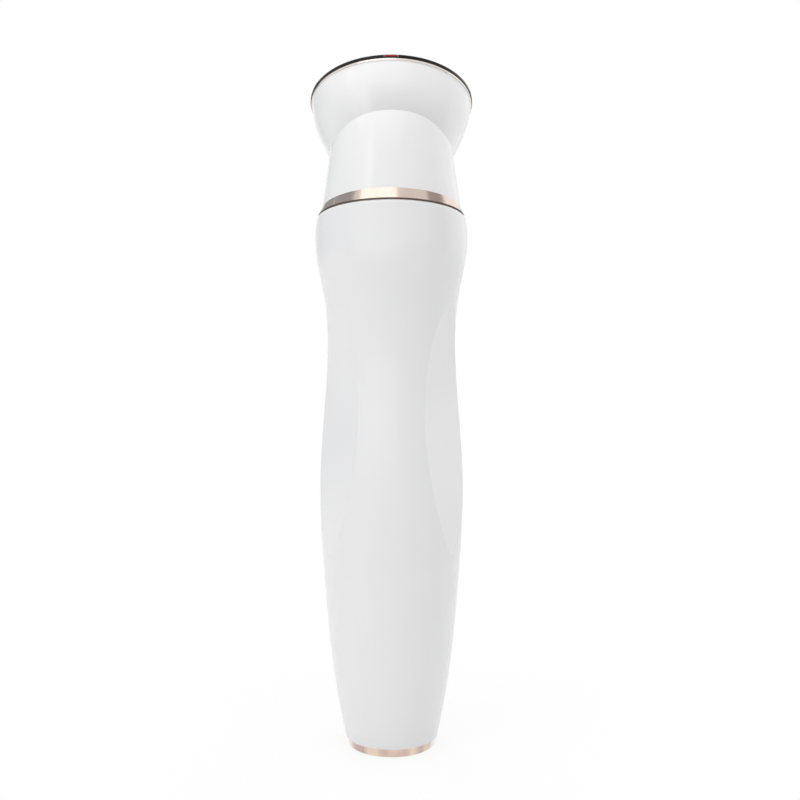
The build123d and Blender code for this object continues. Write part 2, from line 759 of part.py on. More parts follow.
def face_bezel():
    ring = post(HEAD_R, -BEZEL_T, 0) - post(LIGHT_RING_OUT + FIT_GAP, -BEZEL_T, 0)
    edge = ring.edges().filter_by(GeomType.CIRCLE).group_by(Axis.Z)[-1].sort_by(SortBy.RADIUS)[-1]
    ring = fillet(edge, BEZEL_ROUND)
    return FACE * (ring - lens_seat(FIT_GAP / 2))


def lens_seat(grow):
    low, high = HEAD_R - LENS_DEEP - grow, HEAD_R + WALL
    half = LENS_W / 2 + grow
    return block((-half, half), (low, high), (-LENS_T - grow, WALL))


def rim_light_lens():
    disc = post(HEAD_R, -BEZEL_T, 0)
    edge = disc.edges().filter_by(GeomType.CIRCLE).group_by(Axis.Z)[-1]
    return FACE * (fillet(edge, BEZEL_ROUND) & lens_seat(0.0))


def light_ring():
    ring = post(LIGHT_RING_OUT, -LIGHT_RING_T, 0) - post(LIGHT_RING_IN, -LIGHT_RING_T, 0)
    return FACE * ring


def face_plate():
    plate = post(LIGHT_RING_IN - FIT_GAP, -FACE_T, 0)
    for x, y in ELECTRODES:
        plate -= post(ELECTRODE_R + FIT_GAP, -FACE_T, 0, x=x, y=y)
    return FACE * (plate - post(SENSOR_R + FIT_GAP, -FACE_T, 0))


def electrode(x, y):
    """Polished contact: a low dome over a stepped disc, with a pin to the lamp board."""
    curve_r = (ELECTRODE_R ** 2 + ELECTRODE_RISE ** 2) / (2 * ELECTRODE_RISE)
    dome = post(ELECTRODE_R, -FACE_T, ELECTRODE_RISE) & (
        Pos(0, 0, ELECTRODE_RISE - curve_r) * Sphere(curve_r))
    flange_low = -FACE_T - ELECTRODE_FLANGE_T
    body = dome + post(ELECTRODE_R + ELECTRODE_FLANGE, flange_low, -FACE_T)
    body += post(ELECTRODE_PIN_R, -LED_BOARD_DEPTH - BOARD_T, flange_low)
    return FACE * (Pos(x, y, 0) * body)


def skin_sensor():
    flange_low = -FACE_T - ELECTRODE_FLANGE_T
    body = post(SENSOR_R, -FACE_T, SENSOR_RISE)
    body += post(SENSOR_R + ELECTRODE_FLANGE, flange_low, -FACE_T)
    return FACE * (body + post(ELECTRODE_PIN_R, -LED_BOARD_DEPTH - BOARD_T, flange_low))


def head_frame():
    """Carrier under the face: two round walls on a floor with a hole for each lamp."""
    low = -LED_BOARD_DEPTH
    floor = low + FRAME_FLOOR_T
    outer = LIGHT_RING_OUT + FRAME_WALL
    frame = post(outer, low, floor) - post(CARRIER_BORE, low, floor)
    frame += post(LIGHT_RING_IN, floor, -FACE_T) - post(CARRIER_BORE, floor, -FACE_T)
    frame += post(outer, floor, -BEZEL_T) - post(LIGHT_RING_OUT, floor, -BEZEL_T)
    rebate = post(LIGHT_RING_IN, -LIGHT_RING_T, -FACE_T)
    frame -= rebate - post(LIGHT_RING_IN - FIT_GAP, -LIGHT_RING_T, -FACE_T)
    lamp_hole = math.hypot(LED_SIZE, LED_SIZE) / 2 + FIT_GAP
    for x, y in LED_SPOTS:
        frame -= post(lamp_hole, low, floor, x=x, y=y)
    return FACE * frame


def lamp_board():
    low = -LED_BOARD_DEPTH - BOARD_T
    board = post(LIGHT_RING_OUT + FRAME_WALL, low, -LED_BOARD_DEPTH)
    for x, y in HEAD_SCREWS:
        board -= post(SCREW_R + FIT_GAP, low, -LED_BOARD_DEPTH, x=x, y=y)
    for x, y in ELECTRODES + [(0, 0)]:
        board -= post(ELECTRODE_PIN_R, low, -LED_BOARD_DEPTH, x=x, y=y)
    return FACE * board


def lamp_leds():
    leds, half = Part(), LED_SIZE / 2
    for x, y in LED_SPOTS:
        leds += block((x - half, x + half), (y - half, y + half), (-LED_BOARD_DEPTH, -LED_BOARD_DEPTH + LED_TALL))
    return FACE * leds


def head_screws():
    screws = Part()
    for x, y in HEAD_SCREWS:
        screws += post(HEAD_R_SCREW, -LED_BOARD_DEPTH, -LED_BOARD_DEPTH + HEAD_T_SCREW, x=x, y=y)
        screws += post(SCREW_R, -LED_BOARD_DEPTH - BOARD_T - THREAD_L, -LED_BOARD_DEPTH, x=x, y=y)
    return FACE * screws


# ---------------------------------------------------------------- ribbon cable and sockets
SOCKET_Y = BOARD_FRONT_Y - SOCKET_T
SOCKET_LOW = -LED_BOARD_DEPTH - BOARD_T - SOCKET_T


def ribbon_sockets():
    half = RIBBON_W / 2 + FRAME_WALL
    low = block((-half, half), (SOCKET_Y, BOARD_FRONT_Y), (BOARD_TOP_Z - 2 * SOCKET_T, BOARD_TOP_Z))
    high = block((-half, half), (CUP_PORT_R - SOCKET_T, CUP_PORT_R + SOCKET_T),
                 (SOCKET_LOW, SOCKET_LOW + SOCKET_T))
    return Compound(children=[low, FACE * high])


def head_ribbon():
    """Flat cable from the main board up through the collar into the bowl."""
    start_y = SOCKET_Y + SOCKET_T / 2
    in_head = [(FACE * Pos(0, y, z)).position for y, z in (
        (0, -CUP_DEPTH), (CUP_PORT_R, SOCKET_LOW - RIBBON_BEND), (CUP_PORT_R, SOCKET_LOW))]
    route = [(start_y, BOARD_TOP_Z), (start_y, BOARD_TOP_Z + RIBBON_BEND), (-RIBBON_BEND, NECK_Z)]
    route += [(spot.Y, spot.Z) for spot in in_head]
    strip = trace(FilletPolyline(*route, radius=RIBBON_BEND / 2), line_width=RIBBON_T)
    return extrude(Plane.YZ * strip, amount=RIBBON_W / 2, both=True)


# ---------------------------------------------------------------- write every node
NODES = {
    "front_shell": front_shell,
    "rear_shell": rear_shell,
    "control_panel": control_panel,
    "indicator_guide": indicator_guide,
    "base_ring": base_ring,
    "base_plate": base_plate,
    "charge_contacts": charge_contacts,
    "base_screws": base_screws,
    "chassis": chassis,
    "battery_cell": battery_cell,
    "battery_strap": battery_strap,
    "vibration_motor": vibration_motor,
    "motor_shaft": motor_shaft,
    "vibration_weight": vibration_weight,
    "boost_transformer": boost_transformer,
    "main_board": main_board,
    "board_chips": board_chips,
    "indicator_leds": indicator_leds,
    "shell_screws": shell_screws,
    "collar_gasket": collar_gasket,
    "collar_ring": collar_ring,
    "neck_screws": neck_screws,
    "neck_shell": neck_shell,
    "head_cup": head_cup,
    "trim_ring": trim_ring,
    "face_bezel": face_bezel,
    "rim_light_lens": rim_light_lens,
    "light_ring": light_ring,
    "face_plate": face_plate,
    "skin_sensor": skin_sensor,
    "head_frame": head_frame,
    "lamp_board": lamp_board,
    "lamp_leds": lamp_leds,
    "head_screws": head_screws,
    "ribbon_sockets": ribbon_sockets,
    "head_ribbon": head_ribbon,
}


def main():
    os.makedirs("parts", exist_ok=True)
    for name, make in NODES.items():
        export_step(make(), f"parts/{name}.step")
    for name, (z, radius) in BUTTONS.items():
        export_step(button(z, radius), f"parts/{name}_button.step")
        export_step(switch_body(z), f"parts/{name}_switch.step")
        export_step(switch_plunger(z), f"parts/{name}_plunger.step")
    for number, (x, y) in enumerate(ELECTRODES, start=1):
        export_step(electrode(x, y), f"parts/electrode_{number}.step")


main()
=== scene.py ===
import math

import bmesh
import bpy
from bpy.props import FloatProperty, FloatVectorProperty, PointerProperty
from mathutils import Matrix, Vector
from mathutils.bvhtree import BVHTree


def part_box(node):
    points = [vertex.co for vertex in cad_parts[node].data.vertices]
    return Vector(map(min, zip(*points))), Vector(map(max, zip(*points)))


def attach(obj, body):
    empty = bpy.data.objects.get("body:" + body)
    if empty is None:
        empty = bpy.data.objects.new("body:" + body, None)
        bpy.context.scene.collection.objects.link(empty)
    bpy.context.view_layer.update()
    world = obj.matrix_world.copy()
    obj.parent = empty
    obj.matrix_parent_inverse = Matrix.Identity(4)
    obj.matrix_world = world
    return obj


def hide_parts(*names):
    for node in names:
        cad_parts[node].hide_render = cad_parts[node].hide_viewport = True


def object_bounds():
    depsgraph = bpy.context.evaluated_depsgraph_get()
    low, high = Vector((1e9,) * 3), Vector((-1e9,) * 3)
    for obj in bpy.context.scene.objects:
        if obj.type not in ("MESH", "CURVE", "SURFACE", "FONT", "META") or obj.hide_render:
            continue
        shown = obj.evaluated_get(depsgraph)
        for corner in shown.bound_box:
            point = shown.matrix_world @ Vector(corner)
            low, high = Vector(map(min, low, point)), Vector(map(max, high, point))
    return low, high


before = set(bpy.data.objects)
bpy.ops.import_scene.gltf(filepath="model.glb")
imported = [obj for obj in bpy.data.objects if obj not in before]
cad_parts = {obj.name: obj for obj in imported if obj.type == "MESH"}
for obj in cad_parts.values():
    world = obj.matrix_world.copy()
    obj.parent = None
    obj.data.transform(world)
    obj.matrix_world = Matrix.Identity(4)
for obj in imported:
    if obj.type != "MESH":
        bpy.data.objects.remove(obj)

bl_info = {
    "name": "Facial Toning Wand",
    "version": (1, 0, 0),
    "blender": (4, 5, 0),
    "location": "3D View > Sidebar > Toning Wand",
    "description": "Finishes, marks and fine pieces of a toning wand, and the studio that it stands in",
    "category": "Object",
}

# Lengths are metres, as in the frame. +Z is up, the buttons look towards -Y.
MM = 0.001
HOUSING = "housing"
CAD_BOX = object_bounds()

# Blender's wave texture makes one band in this length at scale 1
WAVE_PERIOD = math.pi / 10


# ---------------------------------------------------------------- colours and node helper
def linear(code):
    """Linear RGBA of an sRGB hex colour."""
    channels = [int(code[i:i + 2], 16) / 255 for i in (1, 3, 5)]
    return (*[c / 12.92 if c <= 0.04045 else ((c + 0.055) / 1.055) ** 2.4 for c in channels], 1.0)


def tone(code):
    """Linear RGB of an sRGB hex colour, as a colour property's default."""
    return linear(code)[:3]


def per_metre(size_mm):
    """Texture scale at which one feature is size_mm wide."""
    return 1.0 / (size_mm * MM)


def bands(pitch_mm):
    """Wave texture scale at which bands repeat every pitch_mm."""
    return WAVE_PERIOD / (pitch_mm * MM)


def add_node(tree, kind, values=None, links=None, **settings):
    """Adds a node with its own settings, its input values and the links into it."""
    node = tree.nodes.new(kind)
    for name, value in settings.items():
        setattr(node, name, value)
    for name, value in (values or {}).items():
        node.inputs[name].default_value = value
    for name, socket in (links or {}).items():
        tree.links.new(socket, node.inputs[name])
    return node


# ---------------------------------------------------------------- sizes and colours to change
class WandFinishes(bpy.types.PropertyGroup):
    """Colours of the wand's finishes."""

    grip_white: FloatVectorProperty(
        name="Grip white", description="Silky white of the two grip shells",
        subtype="COLOR", min=0, max=1, default=tone("#EDEDEE"))
    head_white: FloatVectorProperty(
        name="Head white", description="Polished white of the neck, the bowl and the front panel",
        subtype="COLOR", min=0, max=1, default=tone("#F1F1F1"))
    rose_gold: FloatVectorProperty(
        name="Rose gold", description="Plating on the collar, the base ring and the buttons",
        subtype="COLOR", min=0, max=1, default=tone("#DAC8BD"))
    trim_gold: FloatVectorProperty(
        name="Trim gold", description="Paler plating of the thin ring behind the treatment face",
        subtype="COLOR", min=0, max=1, default=tone("#EADFD8"))
    face_black: FloatVectorProperty(
        name="Face black", description="Polished black of the treatment face",
        subtype="COLOR", min=0, max=1, default=tone("#0A0A0C"))
    lamp_red: FloatVectorProperty(
        name="Lamp red", description="Red of the light ring and of the small lens on the rim",
        subtype="COLOR", min=0, max=1, default=tone("#A81822"))
    electrode: FloatVectorProperty(
        name="Electrode", description="Plating of the four contacts and the sensor",
        subtype="COLOR", min=0, max=1, default=tone("#C9C7C4"))


class WandSizes(bpy.types.PropertyGroup):
    """Sizes of the fine pieces that are added to the frame."""

    mark_stroke: FloatProperty(
        name="Mark stroke", description="Line width of the marks on the buttons",
        subtype="DISTANCE", unit="LENGTH", min=0.0001, default=0.42 * MM)
    mark_rise: FloatProperty(
        name="Mark rise", description="Height of a printed mark over the surface that carries it",
        subtype="DISTANCE", unit="LENGTH", min=0.00001, default=0.03 * MM)
    numeral_height: FloatProperty(
        name="Numeral height", description="Height of the numbers over the indicators",
        subtype="DISTANCE", unit="LENGTH", min=0.0001, default=2.0 * MM)
    edge_softness: FloatProperty(
        name="Edge softness", description="Width of the small bevel along moulded and turned edges",
        subtype="DISTANCE", unit="LENGTH", min=0.00001, default=0.12 * MM)


class WandStudio(bpy.types.PropertyGroup):
    """Camera and light of the studio."""

    lens: FloatProperty(
        name="Lens", description="Focal length of the camera in millimetres",
        subtype="DISTANCE_CAMERA", min=10, default=90.0)
    camera_distance: FloatProperty(
        name="Camera distance", description="From the camera to the point that it looks at",
        subtype="DISTANCE", unit="LENGTH", min=0.05, default=533 * MM)
    camera_pitch: FloatProperty(
        name="Camera pitch", description="How far the camera looks down",
        subtype="ANGLE", unit="ROTATION", default=math.radians(11.5))
    aim_height: FloatProperty(
        name="Aim height", description="Height of the point that the camera looks at",
        subtype="DISTANCE", unit="LENGTH", default=96.25 * MM)
    side_step: FloatProperty(
        name="Side step", description="How far the camera stands to the side of the wand's middle plane",
        subtype="DISTANCE", unit="LENGTH", default=-2.27 * MM)
    fill_light: FloatProperty(
        name="Fill light", description="Strength of the even light from all sides",
        min=0, default=0.655)
    key_light: FloatProperty(
        name="Key light", description="Power that the soft boxes share out",
        subtype="POWER", unit="POWER", min=0, default=1.0)


# ---------------------------------------------------------------- parts of a finish
def new_finish(name):
    """Material with an empty tree, its shader, its output and object coordinates in metres."""
    material = bpy.data.materials.new(name)
    material.use_nodes = True
    tree = material.node_tree
    tree.nodes.clear()
    place = add_node(tree, "ShaderNodeTexCoord").outputs["Object"]
    return material, tree, place


def finish_surface(tree, values, links):
    """Shader and output that end a finish's tree."""
    shader = add_node(tree, "ShaderNodeBsdfPrincipled", values, links)
    add_node(tree, "ShaderNodeOutputMaterial", links={"Surface": shader.outputs["BSDF"]})


def stretched(tree, place, x, y, z):
    """Coordinates scaled by axis, so that a pattern runs along the smallest one."""
    return add_node(tree, "ShaderNodeMapping", {"Scale": (x, y, z)}, {"Vector": place}).outputs["Vector"]


def mottled(tree, place, size_mm, low, high, detail=2.0):
    """Soft noise of a given grain that runs between two values."""
    noise = add_node(tree, "ShaderNodeTexNoise", {"Scale": per_metre(size_mm), "Detail": detail},
                     {"Vector": place})
    ranged = add_node(tree, "ShaderNodeMapRange", {"To Min": low, "To Max": high},
                      {"Value": noise.outputs["Fac"]})
    return ranged.outputs["Result"]


def grained(tree, place, size_mm, height_mm):
    """Bump of a fine even grain."""
    noise = add_node(tree, "ShaderNodeTexNoise", {"Scale": per_metre(size_mm), "Detail": 1.0},
                     {"Vector": place})
    bump = add_node(tree, "ShaderNodeBump", {"Distance": height_mm * MM},
                    {"Height": noise.outputs["Fac"]})
    return bump.outputs["Normal"]


def ridged(tree, wave, height_mm):
    """Bump from a wave texture."""
    bump = add_node(tree, "ShaderNodeBump", {"Distance": height_mm * MM}, {"Height": wave.outputs["Fac"]})
    return bump.outputs["Normal"]


def two_tone(tree, fac, first, second):
    """Colour that runs between two tones by a factor. Either tone is a colour or a socket."""
    tones = {6: first, 7: second}
    sockets = {key: tone for key, tone in tones.items() if isinstance(tone, bpy.types.NodeSocket)}
    values = {key: tone for key, tone in tones.items() if key not in sockets}
    return add_node(tree, "ShaderNodeMix", values, {0: fac, **sockets}, data_type="RGBA").outputs[2]


# ---------------------------------------------------------------- plastics
def silky_abs(color):
    """ABS from a finely polished mould: soft clear streaks of light, with the mould's faint ripple."""
    material, tree, place = new_finish("silky_moulded_abs")
    finish_surface(
        tree, {"Base Color": (*color, 1.0), "IOR": 1.54},
        {"Roughness": mottled(tree, place, 9.0, 0.21, 0.27),
         "Normal": grained(tree, place, 6.0, 0.010)})
    return material


def polished_abs(color):
    """ABS from a mirror-polished mould: clear reflections with the faint ripple of a moulded wall."""
    material, tree, place = new_finish("polished_moulded_abs")
    finish_surface(
        tree, {"Base Color": (*color, 1.0), "IOR": 1.54},
        {"Roughness": mottled(tree, place, 6.0, 0.16, 0.21),
         "Normal": grained(tree, place, 7.0, 0.015)})
    return material


def bowl_abs_painted_shade(color, crease):
    """The bowl's ABS, polished as the neck is. Its colour holds painted shade: it is greyed about the crease
    at the neck's top, where the neck shades the bowl, so that the wall reads as hollowed there."""
    material, tree, place = new_finish("polished_bowl_abs_painted_shade")
    # Painted shade: the colour darkens to 0.77 of itself within 3 mm of the crease and fades back to plain
    # white by 19 mm.
    painted_shade_tone = tuple(0.77 * c for c in color)
    away = add_node(tree, "ShaderNodeVectorMath", {1: crease}, {0: place}, operation="DISTANCE")
    painted_shade_fade = add_node(tree, "ShaderNodeMapRange", {"From Min": 3 * MM, "From Max": 19 * MM},
                         {"Value": away.outputs["Value"]}, interpolation_type="SMOOTHSTEP")
    finish_surface(
        tree, {"IOR": 1.54},
        {"Base Color": two_tone(tree, painted_shade_fade.outputs["Result"], (*painted_shade_tone, 1.0), (*color, 1.0)),
         "Roughness": mottled(tree, place, 6.0, 0.18, 0.24), "Normal": grained(tree, place, 7.0, 0.015)})
    return material


def black_polycarbonate(color):
    """Polycarbonate moulded against polished steel: deep black under a thin clear reflection."""
    material, tree, place = new_finish("polished_black_polycarbonate")
    finish_surface(
        tree, {"Base Color": (*color, 1.0), "IOR": 1.30},
        {"Roughness": mottled(tree, place, 5.0, 0.05, 0.10),
         "Normal": grained(tree, place, 8.0, 0.010)})
    return material


def diamond_turned_black(color, centre, tilt):
    """Black polycarbonate from a turned mould: hairline rings about the face's middle that fan out
    a highlight like a record. The rings are drawn every half millimetre so that they show."""
    material, tree, place = new_finish("turned_black_polycarbonate")
    turned = add_node(tree, "ShaderNodeMapping", {"Location": centre}, {"Vector": place},
                      vector_type="POINT")
    level = add_node(tree, "ShaderNodeMapping", {"Rotation": (-tilt, 0, 0)}, {"Vector": turned.outputs[0]})
    rings = add_node(tree, "ShaderNodeTexWave", {"Scale": bands(0.5)}, {"Vector": level.outputs[0]},
                     wave_type="RINGS", rings_direction="Z")
    finish_surface(
        tree, {"Base Color": (*color, 1.0), "IOR": 1.30},
        {"Roughness": mottled(tree, place, 3.0, 0.12, 0.18), "Normal": ridged(tree, rings, 0.006)})
    return material


def red_acrylic(color):
    """Acrylic tinted in the mass and etched inside: a clear skin over a cloudy red."""
    material, tree, place = new_finish("etched_red_acrylic")
    deep = tuple(0.70 * c for c in color)
    cloud = mottled(tree, place, 2.5, 0.0, 1.0)
    finish_surface(
        tree, {"IOR": 1.38, "Transmission Weight": 0.10},
        {"Base Color": two_tone(tree, cloud, (*deep, 1.0), (*color, 1.0)),
         "Roughness": mottled(tree, place, 0.8, 0.22, 0.34)})
    return material


def frosted_polycarbonate():
    """Clear polycarbonate bead-blasted on its back: milky, with light that spreads inside it."""
    material, tree, place = new_finish("frosted_polycarbonate")
    finish_surface(
        tree, {"Base Color": linear("#E6ECF2"), "IOR": 1.58, "Transmission Weight": 0.6},
        {"Roughness": mottled(tree, place, 0.4, 0.30, 0.45), "Normal": grained(tree, place, 0.3, 0.01)})
    return material


def glass_filled_nylon():
    """Nylon with glass fibre: grey, matt, with short pale flecks where fibres meet the skin."""
    material, tree, place = new_finish("glass_filled_nylon")
    flecks = mottled(tree, stretched(tree, place, 1.0, 1.0, 0.2), 0.35, 0.0, 1.0, detail=4.0)
    finish_surface(
        tree, {"IOR": 1.53},
        {"Base Color": two_tone(tree, flecks, linear("#6C6E72"), linear("#85878B")),
         "Roughness": mottled(tree, place, 2.0, 0.50, 0.62), "Normal": grained(tree, place, 0.4, 0.02)})
    return material


def shrink_film():
    """PVC film shrunk on a cell: glossy blue with fine folds drawn along the cell."""
    material, tree, place = new_finish("pvc_shrink_film")
    folds = stretched(tree, place, 1.0, 1.0, 0.12)
    finish_surface(
        tree, {"Base Color": linear("#2C5C96"), "IOR": 1.54, "Coat Weight": 0.3},
        {"Roughness": mottled(tree, place, 4.0, 0.22, 0.34), "Normal": grained(tree, folds, 1.2, 0.03)})
    return material


def gap_shade_silicone():
    """Moulded silicone cord, dull: its warm grey is the cord's own colour and also painted shade for the
    narrow gap between two polished pieces.
    """
    material, tree, place = new_finish("moulded_silicone_gap_shade")
    finish_surface(
        tree, {"Base Color": linear("#6F625D"), "IOR": 1.41},
        {"Roughness": mottled(tree, place, 1.0, 0.45, 0.60), "Normal": grained(tree, place, 0.5, 0.01)})
    return material


def cell_foam():
    """Closed-cell EPDM foam: a soft black with small pores."""
    material, tree, place = new_finish("epdm_foam")
    pores = add_node(tree, "ShaderNodeTexVoronoi", {"Scale": per_metre(0.35)}, {"Vector": place})
    bump = add_node(tree, "ShaderNodeBump", {"Distance": 0.04 * MM}, {"Height": pores.outputs["Distance"]})
    finish_surface(
        tree, {"Base Color": linear("#1D1B1B"), "IOR": 1.48},
        {"Roughness": mottled(tree, place, 0.6, 0.80, 0.95), "Normal": bump.outputs["Normal"]})
    return material


# ---------------------------------------------------------------- metals
def rose_gold_plate(name, color):
    """Rose-gold plate over polished brass: a mirror softened by hairline polishing marks."""
    material, tree, place = new_finish(name)
    shade = tuple(0.86 * c for c in color)
    haze = mottled(tree, place, 5.0, 0.0, 1.0)
    finish_surface(
        tree, {"Metallic": 1.0},
        {"Base Color": two_tone(tree, haze, (*shade, 1.0), (*color, 1.0)),
         "Roughness": mottled(tree, place, 0.8, 0.15, 0.21),
         "Normal": grained(tree, place, 4.0, 0.006)})
    return material


def drawn_rose_gold_painted_reflections(color):
    """Rose-gold plate over a drawn ring, with painted reflections: its colour runs in streaks along the wall
    from pink to straw, and a painted highlight pales it towards white where the wall turns away from view."""
    material, tree, place = new_finish("drawn_rose_gold_painted_reflections")
    along = stretched(tree, place, 1.0, 1.0, 0.04)
    straw = (color[0] * 1.16, color[1] * 1.14, color[2] * 1.04)
    pink = (color[0] * 0.86, color[1] * 0.76, color[2] * 0.78)
    # Painted reflections: streaks of colour along the wall, from pink to straw, standing in for the studio's
    # reflections.
    streaks = mottled(tree, along, 3.5, -1.6, 2.6, detail=0.0)
    plate = two_tone(tree, streaks, (*pink, 1.0), (*straw, 1.0))
    # Painted highlight: the colour turns white where the wall turns away from view.
    turned = add_node(tree, "ShaderNodeLayerWeight", {"Blend": 0.5})
    painted_sheen = add_node(tree, "ShaderNodeMapRange", {"From Min": 0.55, "From Max": 0.85},
                     {"Value": turned.outputs["Facing"]})
    finish_surface(
        tree, {"Metallic": 1.0},
        {"Base Color": two_tone(tree, painted_sheen.outputs["Result"], plate, linear("#FFFFFF")),
         "Roughness": mottled(tree, along, 0.7, 0.16, 0.26), "Normal": grained(tree, along, 2.5, 0.004)})
    return material


def spun_rose_gold(color, z):
    """Rose-gold plate over a turned cap: fine rings about the button's middle, which is at height z,
    that spread a highlight into a fan. The rings are drawn every 0.2 mm so that they show."""
    material, tree, place = new_finish("spun_rose_gold")
    middle = add_node(tree, "ShaderNodeMapping", {"Location": (0, 0, -z)}, {"Vector": place})
    rings = add_node(tree, "ShaderNodeTexWave", {"Scale": bands(0.2), "Distortion": 0.4},
                     {"Vector": middle.outputs[0]}, wave_type="RINGS", rings_direction="Y")
    finish_surface(
        tree, {"Base Color": (*color, 1.0), "Metallic": 1.0},
        {"Roughness": mottled(tree, place, 1.0, 0.20, 0.28), "Normal": ridged(tree, rings, 0.004)})
    return material


def polished_electrode(color):
    """Nickel and chrome over polished brass: a bright cool mirror with faint wipe marks."""
    material, tree, place = new_finish("chrome_plated_brass")
    finish_surface(
        tree, {"Base Color": (*color, 1.0), "Metallic": 1.0},
        {"Roughness": mottled(tree, place, 3.0, 0.12, 0.18), "Normal": grained(tree, place, 3.0, 0.004)})
    return material


def zinc_steel():
    """Zinc-plated steel: a pale bluish metal, slightly cloudy."""
    material, tree, place = new_finish("zinc_plated_steel")
    cloud = mottled(tree, place, 0.9, 0.0, 1.0)
    finish_surface(
        tree, {"Metallic": 1.0},
        {"Base Color": two_tone(tree, cloud, linear("#A9ADB2"), linear("#C3C6C9")),
         "Roughness": mottled(tree, place, 0.5, 0.24, 0.36)})
    return material


def drawn_steel():
    """Deep-drawn steel: draw lines along the can that stretch every highlight."""
    material, tree, place = new_finish("deep_drawn_steel")
    along = stretched(tree, place, 1.0, 1.0, 0.03)
    finish_surface(
        tree, {"Base Color": linear("#B9BABC"), "Metallic": 1.0},
        {"Roughness": mottled(tree, along, 0.3, 0.24, 0.40), "Normal": grained(tree, along, 0.25, 0.004)})
    return material


# ---------------------------------------------------------------- electronics
def solder_mask():
    """Green solder mask over etched copper: traces show as a paler relief under the lacquer."""
    material, tree, place = new_finish("solder_mask_on_fr4")
    traces = add_node(tree, "ShaderNodeTexBrick",
                      {"Scale": per_metre(6.0), "Mortar Size": 0.035, "Brick Width": 0.8, "Row Height": 0.3},
                      {"Vector": place}, offset=0.35)
    bump = add_node(tree, "ShaderNodeBump", {"Distance": 0.03 * MM}, {"Height": traces.outputs["Fac"]})
    finish_surface(
        tree, {"IOR": 1.52, "Coat Weight": 0.4, "Coat Roughness": 0.12},
        {"Base Color": two_tone(tree, traces.outputs["Fac"], linear("#17492F"), linear("#2E7048")),
         "Roughness": mottled(tree, place, 2.0, 0.30, 0.40), "Normal": bump.outputs["Normal"]})
    return material


def moulding_compound():
    """Epoxy moulding compound: near-black and matt, with a sandy skin."""
    material, tree, place = new_finish("epoxy_moulding_compound")
    finish_surface(
        tree, {"Base Color": linear("#1B1B1D"), "IOR": 1.55},
        {"Roughness": mottled(tree, place, 0.5, 0.48, 0.62), "Normal": grained(tree, place, 0.12, 0.008)})
    return material


def lamp_body():
    """Lamp of white ceramic with a drop of yellow phosphor gel."""
    material, tree, place = new_finish("phosphor_on_ceramic")
    drops = mottled(tree, place, 0.9, -0.5, 1.5)
    finish_surface(
        tree, {"IOR": 1.50},
        {"Base Color": two_tone(tree, drops, linear("#F1EEE2"), linear("#E9C94C")),
         "Roughness": mottled(tree, place, 0.4, 0.25, 0.40)})
    return material


def laminated_ribbon():
    """Flat cable: tinned conductors a millimetre apart under white polyester film."""
    material, tree, place = new_finish("polyester_flat_cable")
    wires = add_node(tree, "ShaderNodeTexWave", {"Scale": bands(1.0)}, {"Vector": place},
                     wave_type="BANDS", bands_direction="X")
    finish_surface(
        tree, {"IOR": 1.57},
        {"Base Color": two_tone(tree, wires.outputs["Fac"], linear("#E9E9E6"), linear("#A9ABAD")),
         "Roughness": mottled(tree, place, 2.0, 0.28, 0.36), "Normal": ridged(tree, wires, 0.03)})
    return material


def taped_winding():
    """Coil under amber polyimide tape: turns of wire show as close ribs through a glossy film."""
    material, tree, place = new_finish("taped_winding")
    turns = add_node(tree, "ShaderNodeTexWave", {"Scale": bands(0.4)}, {"Vector": place},
                     wave_type="BANDS", bands_direction="Y")
    finish_surface(
        tree, {"IOR": 1.60, "Coat Weight": 0.6, "Coat Roughness": 0.08},
        {"Base Color": two_tone(tree, turns.outputs["Fac"], linear("#7A4710"), linear("#C98A2B")),
         "Roughness": mottled(tree, place, 1.0, 0.25, 0.35), "Normal": ridged(tree, turns, 0.05)})
    return material


def printed_ink(name, code):
    """Two-part pad-printing ink: an even matt film."""
    material, tree, place = new_finish(name)
    finish_surface(tree, {"Base Color": linear(code), "IOR": 1.50},
                   {"Roughness": mottled(tree, place, 0.3, 0.42, 0.55)})
    return material


# ---------------------------------------------------------------- helpers for pieces
def paint(finish, *nodes):
    """Gives a finish to the material slots of CAD nodes."""
    for name in nodes:
        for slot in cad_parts[name].material_slots:
            slot.material = finish


def soften(width, *nodes):
    """Small bevel along the sharp edges of CAD nodes, shaded as one surface with their faces."""
    for name in nodes:
        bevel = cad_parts[name].modifiers.new("soft_edges", "BEVEL")
        bevel.width = width
        bevel.segments = 2
        bevel.limit_method = "ANGLE"
        bevel.angle_limit = math.radians(40)
        bevel.harden_normals = True


def add_piece(name, bm, finish, body):
    """Finished object from a bmesh, riding on a body of the frame."""
    bmesh.ops.recalc_face_normals(bm, faces=bm.faces)
    mesh = bpy.data.meshes.new(name)
    bm.to_mesh(mesh)
    bm.free()
    mesh.materials.append(finish)
    piece = bpy.data.objects.new(name, mesh)
    bpy.context.scene.collection.objects.link(piece)
    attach(piece, body)
    return piece


def surface_of(node):
    """Search tree of a CAD node's surface."""
    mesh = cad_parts[node].data
    return BVHTree.FromPolygons([v.co for v in mesh.vertices], [p.vertices for p in mesh.polygons])


def front_depth(surface, x, z):
    """Depth at which the front of a surface is met at (x, z)."""
    start = Vector((x, 2 * CAD_BOX[0][1], z))
    hit = surface.ray_cast(start, Vector((0, 1, 0)))[0]
    if hit is None:
        raise RuntimeError(f"no surface in front at {x:.4f}, {z:.4f}")
    return hit.y


